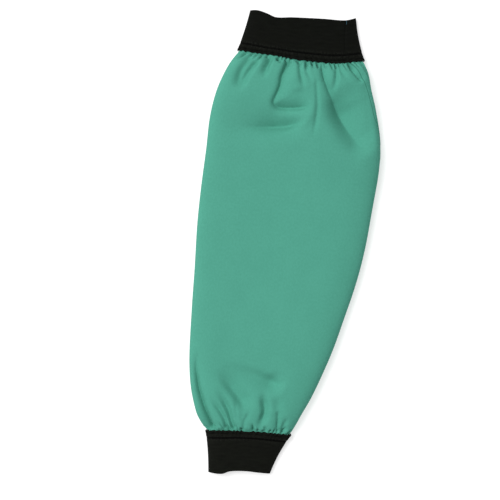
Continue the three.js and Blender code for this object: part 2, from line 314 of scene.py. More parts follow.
@dataclass
class SleeveForm:
    """The lie of the whole sleeve: its outline, its heights and the waves of its cuffs' edges."""

    body_height: float = 28.0
    cuff_length: float = 41.0
    free_shift: float = -9.2  # of the cuffs' middles along X, at their free edges
    seam_shift: float = -5.6  # and at their sewn edges
    skew: float = 3.4  # the rise along Y from a cuff's middle to its right-hand fold
    free_height: float = 12.0
    seam_height: float = 18.0
    columns_over: int = 216
    columns_under: int = 92
    plan_lean: float = math.radians(7.95)  # how far the plan's up leans from +Y
    plan_middle: tuple[float, float] = (-9.2, -0.35)
    plan_steps: int = 6  # points of a smoothed line from one drawn point to the next
    edge_steps: int = 401  # places at which an edge's furthest point is looked for
    shape: LoopShape = field(default_factory=LoopShape)
    seam_half: dict[End, float] = field(default_factory=lambda: {End.UPPER: 63.1, End.WRIST: 42.4})
    free_half: dict[End, float] = field(default_factory=lambda: {End.UPPER: 52.2, End.WRIST: 30.2})
    # along, then the left-hand and right-hand shares of the half width, and the share of the height
    outline: Sequence[tuple[float, float, float, float]] = (
        (0.03, 0.657, 0.464, 0.70),
        (0.06, 0.724, 0.510, 0.78),
        (0.11, 0.800, 0.592, 0.82),
        (0.18, 0.855, 0.681, 0.82),
        (0.30, 0.897, 0.813, 0.80),
        (0.45, 0.951, 0.934, 0.80),
        (0.60, 0.984, 0.986, 0.84),
        (0.72, 0.994, 1.000, 0.92),
        (0.80, 1.000, 0.965, 0.98),
        (0.88, 0.966, 0.871, 1.00),
        (0.93, 0.916, 0.791, 0.95),
        (0.97, 0.853, 0.731, 0.84),
    )
    # down the cuff from its free edge, and how far it has flared out by then
    flare: Pairs = ((0.0, 0.0), (0.4, 0.3), (0.78, 0.7), (1.0, 1.0))
    # across a section from -1 to 1, and the rise along Y there as a share of the cuff's length
    free_edges: dict[End, Pairs] = field(
        default_factory=lambda: {
            End.UPPER: (
                (-1, 0), (-0.86, 0.01), (-0.68, -0.05), (-0.5, -0.13),
                (-0.2, -0.105), (0.4, -0.085), (0.8, -0.08), (1, 0),
            ),
            End.WRIST: (
                (-1, 0), (-0.56, -0.027), (-0.3, 0.04), (0.2, 0.054), (0.55, 0.03), (1, 0),
            ),
        }
    )
    seam_edges: dict[End, Pairs] = field(
        default_factory=lambda: {
            End.UPPER: (
                (-1, 0), (-0.7, -0.045), (-0.4, -0.07), (-0.1, -0.12),
                (0.45, -0.14), (0.7, -0.1), (1, 0),
            ),
            End.WRIST: ((-1, 0), (-0.4, 0.037), (0.3, 0.042), (1, 0)),
        }
    )

    def __post_init__(self) -> None:
        """Reads the overall sizes and the cuffs' places from the frame."""
        low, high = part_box("sleeve_body")
        self.half_width = (high.x - low.x) / 2 / MM
        self.middle_x = (high.x + low.x) / 2 / MM
        across = np.linspace(-1, 1, self.edge_steps)
        upper_reach = self.cuff_length + self.cuff_rise(End.UPPER, across, 0.0).max()
        wrist_reach = self.cuff_length - self.cuff_rise(End.WRIST, across, 0.0).min()
        self.seam_y = {
            End.UPPER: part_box("upper_cuff")[1].y / MM - upper_reach,
            End.WRIST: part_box("wrist_cuff")[0].y / MM + wrist_reach,
        }
        self.length = self.seam_y[End.UPPER] - self.seam_y[End.WRIST]

    @property
    def columns(self) -> int:
        """The number of columns round a whole section."""
        return self.columns_over + self.columns_under

    def plan(self, line: Pairs) -> np.ndarray:
        """Smooths a line that is drawn on the plan, and turns it to the sleeve's own axes.

        Args:
            line: Pairs of millimetres to the right and up, on a plan whose up leans from +Y.

        Returns:
            Rows of x and y, in millimetres.
        """
        spans = len(line) - 1
        steps = np.linspace(0, spans, self.plan_steps * spans + 1)
        right, up = (curve_through(list(enumerate(column)), steps) for column in zip(*line))
        cosine, sine = math.cos(self.plan_lean), math.sin(self.plan_lean)
        x, y = right * cosine - up * sine, right * sine + up * cosine
        return np.column_stack([x + self.plan_middle[0], y + self.plan_middle[1]])

    def cuff_section(
        self, end: End, down: float, inset_side: float = 0.0, inset_face: float = 0.0
    ) -> Section:
        """Gives a section of a cuff, or of the cloth inside it.

        Args:
            end: Which cuff.
            down: 0 at its free edge and 1 at its sewn edge.
            inset_side: How far inside the cuff's outer face at the sides.
            inset_face: How far inside it at the top and underneath.

        Returns:
            The section there.
        """
        flare = float(curve_through(self.flare, down))
        middle = self.middle_x + mix(self.free_shift, self.seam_shift, flare)
        half = mix(self.free_half[end], self.seam_half[end], flare) - inset_side
        top = mix(self.free_height, self.seam_height, flare) - inset_face
        return Section(middle - half, middle + half, inset_face, top)

    def cuff_rise(self, end: End, across: np.ndarray, down: float) -> np.ndarray:
        """Gives how far points of a cuff rise along Y with the waves of its edges.

        Args:
            end: Which cuff.
            across: Shares across the section, from -1 to 1.
            down: 0 at its free edge and 1 at its sewn edge.

        Returns:
            The rises, in millimetres.
        """
        free = curve_through(self.free_edges[end], across)
        seam = curve_through(self.seam_edges[end], across)
        return self.skew * across + self.cuff_length * mix(free, seam, down)

    def draw(self, section: Section, fullness: float = 0.0) -> np.ndarray:
        """Draws a section with this sleeve's columns."""
        return self.shape.loop(section, self.columns_over, self.columns_under, fullness)


@dataclass(frozen=True)
class Gathers:
    """The places of the gathers at a sewn edge, shared by the cloth and the cuff over it."""

    form: SleeveForm
    ruffle: Ruffle
    valley_power: float = 0.85  # under 1, the pleats' crests are broader than their valleys
    # the waves that spread the gathers unevenly: size in gathers, turns, and their shift with the seed
    swings: Sequence[tuple[float, int, float]] = ((0.5, 2, 0.13), (0.3, 5, 0.37))

    def columns(self, counts: tuple[int, int], seed: int) -> tuple[np.ndarray, np.ndarray]:
        """Spreads gathers unevenly over the columns.

        Args:
            counts: How many over the top and underneath.
            seed: Picks one uneven spread.

        Returns:
            For each column, how far it is from one valley to the next, from 0 to 1, and the
            number of the nearer valley.
        """
        places, valleys, first = [], [], 0
        for steps, count in zip((self.form.columns_over, self.form.columns_under), counts):
            share = np.arange(steps) / steps
            swing = np.zeros(steps)
            for size, turns, shift in self.swings:
                wave = np.sin(2 * math.pi * (turns * share + shift * seed))
                swing += size * wave * np.sin(math.pi * share)
            phase = share * count + swing
            places.append(phase % 1.0)
            valleys.append(np.round(phase).astype(int) % count + first)
            first += count
        return np.concatenate(places), np.concatenate(valleys)

    def pleats(self) -> tuple[np.ndarray, np.ndarray]:
        """Gives the small pleats of the sewn edge.

        Returns:
            For each column, a share that is 1 in a valley and 0 on a crest, and the valley's number.
        """
        counts = (self.ruffle.pleats_over, self.ruffle.pleats_under)
        place, valley = self.columns(counts, self.ruffle.seed)
        return 1 - np.abs(np.sin(math.pi * place)) ** self.valley_power, valley

    def pleat_sizes(self, dice: np.random.Generator, span: Span) -> np.ndarray:
        """Draws an uneven size for each pleat.

        Args:
            dice: The seeded random numbers.
            span: The least and the greatest size.

        Returns:
            The sizes, one for each column.
        """
        total = self.ruffle.pleats_over + self.ruffle.pleats_under
        return dice.uniform(*span, total)[self.pleats()[1]]


def new_piece(name: str, points: np.ndarray, faces: list[list[int]]) -> bpy.types.Object:
    """Makes a smooth piece from its points and faces.

    Args:
        name: The piece's name.
        points: Rows of x, y and z, in millimetres.
        faces: The numbers of each face's points.

    Returns:
        The new object.
    """
    mesh = bpy.data.meshes.new(name)
    mesh.from_pydata((points * MM).tolist(), [], faces)
    mesh.polygons.foreach_set("use_smooth", np.ones(len(faces), bool))
    mesh.update()
    piece = bpy.data.objects.new(name, mesh)
    bpy.context.scene.collection.objects.link(piece)
    return piece


def shell_object(name: str, rows: np.ndarray, u: np.ndarray, v: np.ndarray) -> bpy.types.Object:
    """Makes a closed wall from a profile swept round a loop, with a UV map in metres.

    Args:
        name: The piece's name.
        rows: The profile's points at each column, rows by columns by 3, in millimetres. The last row
            joins the first, and the last column joins the first.
        u: The distance round the loop of each column and of the whole loop, in millimetres.
        v: The distance along the cloth of each row, in millimetres.

    Returns:
        The new object.
    """
    count, columns = rows.shape[:2]
    row = np.repeat(np.arange(count), columns)
    column = np.tile(np.arange(columns), count)
    next_row, next_column = (row + 1) % count, (column + 1) % columns
    corners = [(row, column), (row, next_column), (next_row, next_column), (next_row, column)]
    faces = np.column_stack([r * columns + c for r, c in corners])
    piece = new_piece(name, rows.reshape(-1, 3), faces.tolist())
    u_corners = np.column_stack([u[column], u[column + 1], u[column + 1], u[column]])
    v_corners = np.column_stack([v[row], v[row], v[next_row], v[next_row]])
    places = np.stack([u_corners, v_corners], axis=2) * MM
    layer = piece.data.uv_layers.new(name="cloth")
    layer.data.foreach_set("uv", places.astype(np.float32).ravel())
    return piece


def add_distance(piece: bpy.types.Object, name: str, values: np.ndarray) -> None:
    """Keeps a distance at every point of a piece, for its material.

    Args:
        piece: The piece.
        name: The attribute's name.
        values: One distance for each point, in millimetres.
    """
    layer = piece.data.attributes.new(name, "FLOAT", "POINT")
    layer.data.foreach_set("value", (values * MM).astype(np.float32).ravel())


@dataclass
class Node:
    """One shader node with short ways to set and link its sockets."""

    tree: bpy.types.NodeTree
    node: bpy.types.Node
    output: int | str = 0

    def give(self, socket: bpy.types.NodeSocket) -> None:
        """Links this node's output to a socket."""
        self.tree.links.new(self.node.outputs[self.output], socket)

    def set(self, **values: object) -> Node:
        """Sets or links sockets by name, with _ for a space.

        Args:
            **values: A plain value, or another Node to link.

        Returns:
            This node.
        """
        for name, value in values.items():
            socket = self.node.inputs[name.replace("_", " ")]
            if isinstance(value, Node):
                value.give(socket)
            else:
                socket.default_value = value
        return self


class NodeBoard:
    """A material under construction."""

    def __init__(self, name: str) -> None:
        """Starts a material with one surface shader.

        Args:
            name: The material's name.
        """
        self.material = bpy.data.materials.new(name)
        self.material.use_nodes = True
        self.tree = self.material.node_tree
        self.surface = Node(self.tree, self.tree.nodes["Principled BSDF"])

    def add(self, kind: str, output: int | str = 0, **settings: object) -> Node:
        """Adds a node.

        Args:
            kind: The node's type, without its ShaderNode prefix.
            output: The output that other nodes read.
            **settings: The node's own properties.

        Returns:
            The node.
        """
        node = self.tree.nodes.new("ShaderNode" + kind)
        for name, value in settings.items():
            setattr(node, name, value)
        return Node(self.tree, node, output)

    def math(self, operation: str, *numbers: Node | float) -> Node:
        """Adds a node that works on numbers.

        Args:
            operation: The node's operation.
            *numbers: Its numbers.

        Returns:
            The node.
        """
        made = self.add("Math", operation=operation)
        for socket, value in zip(made.node.inputs, numbers):
            if isinstance(value, Node):
                value.give(socket)
            else:
                socket.default_value = value
        return made

    def total(self, *parts: tuple[Node, float]) -> Node:
        """Adds up weighted numbers.

        Args:
            *parts: Pairs of a node and its weight.

        Returns:
            The node that gives the sum.
        """
        result = self.math("MULTIPLY", *parts[0])
        for node, weight in parts[1:]:
            result = self.math("MULTIPLY_ADD", node, weight, result)
        return result

    def between(
        self, value: Node, low: float, high: float, least: float = 0.0, most: float = 1.0
    ) -> Node:
        """Turns a value into another that goes smoothly from least at low to most at high.

        Args:
            value: The value.
            low: Where the result is least.
            high: Where the result is most.
            least: The result at low.
            most: The result at high.

        Returns:
            The node that gives the result.
        """
        made = self.add("MapRange", interpolation_type="SMOOTHSTEP")
        return made.set(Value=value, From_Min=low, From_Max=high, To_Min=least, To_Max=most)

    def blend(self, share: Node, start: Colour, end: Colour) -> Node:
        """Blends two colours by a share.

        Args:
            share: The node that gives the share.
            start: The colour at share 0.
            end: The colour at share 1.

        Returns:
            The node that gives the colour.
        """
        made = self.add("ValToRGB")
        ramp = made.node.color_ramp.elements
        ramp[0].color, ramp[1].color = (*start, 1.0), (*end, 1.0)
        return made.set(Fac=share)

    def lay(self, share: Node, under: Node, over: Colour, way: str = "MIX") -> Node:
        """Lays a plain colour over a pattern of colours by a share.

        Args:
            share: The node that gives the share, 0 for the pattern alone.
            under: The node that gives the pattern.
            over: The plain colour.
            way: How the two are mixed.

        Returns:
            The node that gives the colour.
        """
        made = self.add("Mix", output=MIX_COLOUR, data_type="RGBA", blend_type=way)
        share.give(made.node.inputs[MIX_SHARE])
        under.give(made.node.inputs[MIX_UNDER])
        made.node.inputs[MIX_OVER].default_value = (*over, 1.0)
        return made

    def noise(self, place: Node, size: float, detail: float) -> Node:
        """Adds a cloudy pattern.

        Args:
            place: The node that gives the coordinates, in metres.
            size: How big the clouds are, in millimetres.
            detail: How much finer detail they hold.

        Returns:
            The node that gives each point's share.
        """
        return self.add("TexNoise").set(Vector=place, Scale=1 / (size * MM), Detail=detail)

    def threads(self, place: Node, pitch: float, direction: str, wander: float = 0.0) -> Node:
        """Adds threads that repeat with a pitch.

        Args:
            place: The node that gives the coordinates, in metres.
            pitch: Their spacing, in millimetres.
            direction: X, Y or DIAGONAL.
            wander: How much the threads waver.

        Returns:
            The node that gives each point's height, from 0 to 1.
        """
        scale = DIAGONAL_BANDS if direction == "DIAGONAL" else STRAIGHT_BANDS
        made = self.add("TexWave", output="Fac", wave_type="BANDS", bands_direction=direction)
        return made.set(Vector=place, Scale=scale / (pitch * MM), Distortion=wander, Detail=1.0)


@dataclass(frozen=True)
class CottonTwill:
    """The green cotton: fine twill lines, soft mottling and painted shadow at the felled seam's edges.
    """

    light: Colour = (0.0815, 0.338, 0.250)
    dark: Colour = (0.0725, 0.310, 0.228)
    roughness: float = 0.86
    sheen: float = 0.015
    gloss: float = 0.06
    twill_pitch: float = 0.7
    thread_pitch: float = 0.38
    slub_size: float = 2.4
    patch_size: float = 26.0
    tone_span: Span = (0.36, 0.64)
    seam_half: float = 3.2
    seam_edge: float = 0.7
    seam_shade: float = 0.65
    # painted shadow: the colour that darkens the felled seam's edges
    seam_shadow_tint: Colour = (0.25, 0.35, 0.32)
    weave_relief: float = 0.12

    def material(self) -> bpy.types.Material:
        """Builds the material.

        Returns:
            The material.
        """
        board = NodeBoard("cotton_twill")
        cloth = board.add("UVMap", uv_map="cloth")
        twill = board.threads(cloth, self.twill_pitch, "DIAGONAL", 0.4)
        yarns = board.threads(cloth, self.thread_pitch, "X", 0.6)
        weave = board.total((twill, 0.7), (yarns, 0.3))
        slubs = board.noise(cloth, self.slub_size, 3.0)
        patches = board.noise(cloth, self.patch_size, 2.0)
        tone = board.total((slubs, 0.6), (patches, 0.25), (weave, 0.15))
        colour = board.blend(board.between(tone, *self.tone_span), self.dark, self.light)
        gap = board.math("ABSOLUTE", board.add("Attribute", output="Fac", attribute_name="seam"))
        edge = board.math("ABSOLUTE", board.math("SUBTRACT", gap, self.seam_half * MM))
        on_edge = board.between(edge, self.seam_edge * MM, 0.0)
        # painted shadow darkens the seam's edges, over their real bump
        shade = board.math("MULTIPLY", on_edge, self.seam_shade)
        relief = board.total((weave, 1.0), (on_edge, -2.5), (slubs, 0.5))
        board.surface.set(
            Base_Color=board.lay(shade, colour, self.seam_shadow_tint, "MULTIPLY"),
            Normal=board.add("Bump").set(
                Height=relief, Strength=0.5, Distance=self.weave_relief * MM
            ),
            Roughness=board.between(weave, 0.0, 1.0, self.roughness + 0.05, self.roughness - 0.04),
            Sheen_Weight=self.sheen,
            Sheen_Roughness=0.5,
            Sheen_Tint=(0.75, 1.0, 0.9, 1.0),
            Specular_IOR_Level=self.gloss,
        )
        return board.material


@dataclass(frozen=True)
class RibbedElastic:
    """The near-black woven elastic: fine ribs round the band, a little lint, and painted highlight and
    shade along its stitch row and hem.
    """

    dark: Colour = (0.0028, 0.0032, 0.0022)
    light: Colour = (0.0068, 0.0078, 0.0056)
    roughness: float = 0.85
    sheen: float = 0.02
    rib_pitch: float = 1.25
    pick_pitch: float = 0.85
    lint_size: float = 9.0
    streak_size: float = 2.2
    streak_stretch: float = 0.12
    tone_span: Span = (0.3, 0.7)
    rib_relief: float = 0.22
    row_highlight: Colour = (0.0088, 0.0100, 0.0076)  # painted highlight beside the stitch row, where the ribs drawn up by the stitches catch the light
    highlight_size: float = 2.3
    highlight_span: Span = (0.4, 0.68)
    highlight_reach: float = 4.5
    highlight_full: float = 1.0
    pressed: Colour = (0.0006, 0.0007, 0.0005)  # painted shade in the stitch groove and, in patches, in the hem's groove
    groove_shade_reach: float = 1.5
    groove_shade_full: float = 0.4
    groove_shade: float = 0.9
    hem_place: float = 4.7
    hem_reach: float = 1.1
    hem_size: float = 9.0
    hem_span: Span = (0.42, 0.58)
    hem_shade: float = 0.8

    def material(self) -> bpy.types.Material:
        """Builds the material.

        Returns:
            The material.
        """
        board = NodeBoard("ribbed_elastic")
        cloth = board.add("UVMap", uv_map="cloth")
        ribs = board.threads(cloth, self.rib_pitch, "Y", 0.5)
        picks = board.threads(cloth, self.pick_pitch, "X", 0.8)
        weave = board.total((ribs, 0.7), (picks, 0.3))
        lint = board.noise(cloth, self.lint_size, 4.0)
        drawn = board.add("Mapping").set(Vector=cloth, Scale=(self.streak_stretch, 1.0, 1.0))
        streaks = board.noise(drawn, self.streak_size, 3.0)
        tone = board.total((weave, 0.25), (lint, 0.3), (streaks, 0.45))
        colour = board.blend(board.between(tone, *self.tone_span), self.dark, self.light)
        past_row = board.add("Attribute", output="Fac", attribute_name="row")
        from_row = board.math("ABSOLUTE", past_row)
        # painted highlight, in patches, beside the stitch row
        highlight_patches = board.between(board.noise(cloth, self.highlight_size, 1.0), *self.highlight_span)
        near_row = board.between(from_row, self.highlight_reach * MM, self.highlight_full * MM)
        colour = board.lay(board.math("MULTIPLY", highlight_patches, near_row), colour, self.row_highlight)
        # painted shade: darker in the stitch groove and, in patches, in the hem groove
        from_hem = board.math("ABSOLUTE", board.math("ADD", past_row, self.hem_place * MM))
        in_hem = board.between(from_hem, self.hem_reach * MM, 0.0, 0.0, self.hem_shade)
        patchy = board.between(board.noise(cloth, self.hem_size, 1.0), *self.hem_span)
        in_groove = board.between(
            from_row, self.groove_shade_reach * MM, self.groove_shade_full * MM, 0.0, self.groove_shade
        )
        pressed = board.math("MAXIMUM", board.math("MULTIPLY", in_hem, patchy), in_groove)
        board.surface.set(
            Base_Color=board.lay(pressed, colour, self.pressed),
            Normal=board.add("Bump").set(
                Height=weave, Strength=0.6, Distance=self.rib_relief * MM
            ),
            Roughness=board.between(lint, *self.tone_span, self.roughness, self.roughness + 0.12),
            Sheen_Weight=self.sheen,
            Sheen_Roughness=0.4,
            Specular_IOR_Level=0.08,
        )
        return board.material


@dataclass(frozen=True)
class SewingThread:
    """Twisted sewing thread of one colour."""

    name: str
    light: Colour
    dark: Colour
    roughness: float = 0.55
    twist_pitch: float = 0.5
    twist_relief: float = 0.08
    gloss: float = 0.25

    def material(self) -> bpy.types.Material:
        """Builds the material.

        Returns:
            The material.
        """
        board = NodeBoard(self.name)
        place = board.add("TexCoord", output="Object")
        twist = board.threads(place, self.twist_pitch, "DIAGONAL", 0.5)
        board.surface.set(
            Base_Color=board.blend(twist, self.dark, self.light),
            Normal=board.add("Bump").set(
                Height=twist, Strength=0.4, Distance=self.twist_relief * MM
            ),
            Roughness=self.roughness,
            Specular_IOR_Level=self.gloss,
        )
        return board.material


@dataclass(frozen=True)
class StudioFloor:
    """The white light table, with a faint unevenness so that it isn't one flat tone."""

    light: Colour = (0.56, 0.56, 0.56)
    dark: Colour = (0.54, 0.54, 0.54)
    roughness: float = 0.9
    cloud_size: float = 330.0
    glow: float = 0.6

    def material(self) -> bpy.types.Material:
        """Builds the material.

        Returns:
            The material.
        """
        board = NodeBoard("studio_floor")
        cloud = board.noise(board.add("TexCoord", output="Object"), self.cloud_size, 1.0)
        board.surface.set(
            Base_Color=board.blend(cloud, self.dark, self.light),
            Roughness=self.roughness,
            Specular_IOR_Level=0.1,
            Emission_Color=(1.0, 1.0, 1.0, 1.0),
            Emission_Strength=self.glow,
        )
        return board.material


@dataclass(frozen=True)
class StitchPath:
    """A line to sew along: its points, the outward normals there, and whether it is closed."""

    points: np.ndarray
    normals: np.ndarray
    closed: bool = False
    reach: float = 0.3  # how far to both sides its direction is read, as a share of the pitch

    def spots(self, pitch: float) -> tuple[np.ndarray, np.ndarray, np.ndarray]:
        """Spaces stitches evenly along the line.

        Args:
            pitch: The distance between the middles of two stitches, in millimetres.

        Returns:
            Their middles, their directions along the line and the normals there, each as rows.
        """
        points, normals = self.points, self.normals
        if self.closed:
            points, normals = (np.vstack([rows, rows[:1]]) for rows in (points, normals))
        steps = np.linalg.norm(np.diff(points, axis=0), axis=1)
        travelled = np.concatenate([[0.0], np.cumsum(steps)])
        count = max(1, round(travelled[-1] / pitch))
        at = (np.arange(count) + 0.5) * travelled[-1] / count

        def read(rows: np.ndarray, places: np.ndarray) -> np.ndarray:
            """Reads rows at distances along the line."""
            return np.column_stack([np.interp(places, travelled, column) for column in rows.T])

        ahead = read(points, at + self.reach * pitch)
        behind = read(points, at - self.reach * pitch)
        along = ahead - behind
        along /= np.linalg.norm(along, axis=1, keepdims=True)
        up = read(normals, at)
        up -= np.sum(up * along, axis=1, keepdims=True) * along
        up /= np.linalg.norm(up, axis=1, keepdims=True)
        return (ahead + behind) / 2, along, up


@dataclass
class Stitching:
    """Rows of equal stitches, each a short arched thread that dives into the cloth at both ends."""

    name: str
    finish: SewingThread
    slot: str
    pitch: float = 3.3
    stitch_length: float = 2.1
    thickness: float = 0.5
    dive: float = 0.3  # how far its ends go down into the cloth
    dive_from: float = 0.32  # from the stitch's middle, as a share of its length
    sink: float = 0.08
    sides: int = 6
    rings: int = 7
    decimals: int = 4  # to which the points are rounded when they are put in order

    def one_stitch(self) -> tuple[np.ndarray, list[list[int]]]:
        """Models one stitch along X, arched over Z.

        Returns:
            Its points in millimetres and its faces, both in an order that is always the same.
        """
        bpy.ops.object.select_all(action="DESELECT")
        bpy.ops.mesh.primitive_uv_sphere_add(
            segments=self.sides, ring_count=self.rings, radius=0.5, rotation=(0, math.pi / 2, 0)
        )
        thread = bpy.context.object
        bpy.ops.object.transform_apply(location=False, rotation=True, scale=False)
        bpy.ops.object.mode_set(mode="EDIT")
        bpy.ops.mesh.select_all(action="SELECT")
        bpy.ops.transform.resize(value=(self.stitch_length, self.thickness, self.thickness))
        bpy.ops.mesh.select_all(action="DESELECT")
        bpy.ops.object.mode_set(mode="OBJECT")
        for vertex in thread.data.vertices:
            vertex.select = abs(vertex.co.x) > self.dive_from * self.stitch_length
        bpy.ops.object.mode_set(mode="EDIT")
        bpy.ops.transform.translate(value=(0, 0, -self.dive))
        bpy.ops.object.mode_set(mode="OBJECT")
        mesh = thread.data
        points = np.array([tuple(vertex.co) for vertex in mesh.vertices])
        order = np.lexsort(np.round(points, self.decimals).T)
        number = np.argsort(order).tolist()
        faces = sorted([number[corner] for corner in polygon.vertices] for polygon in mesh.polygons)
        bpy.data.objects.remove(thread)
        bpy.data.meshes.remove(mesh)
        return points[order], faces

    def sew(self, paths: Sequence[StitchPath]) -> bpy.types.Object:
        """Copies the stitch along each line.

        Args:
            paths: The lines.

        Returns:
            The piece that holds all the stitches.
        """
        points, faces = self.one_stitch()
        all_points: list[np.ndarray] = []
        all_faces: list[list[int]] = []
        for path in paths:
            for middle, along, up in zip(*path.spots(self.pitch)):
                side = np.cross(up, along)
                offset = len(all_points) * len(points)
                all_points.append(middle - self.sink * up + points @ np.array([along, side, up]))
                all_faces.extend([[corner + offset for corner in face] for face in faces])
        piece = new_piece(self.name, np.vstack(all_points), all_faces)
        piece.data.materials.append(self.finish.material())
        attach(piece, "root")
        LOG.info("%s: %d stitches", self.name, len(all_points))
        return piece


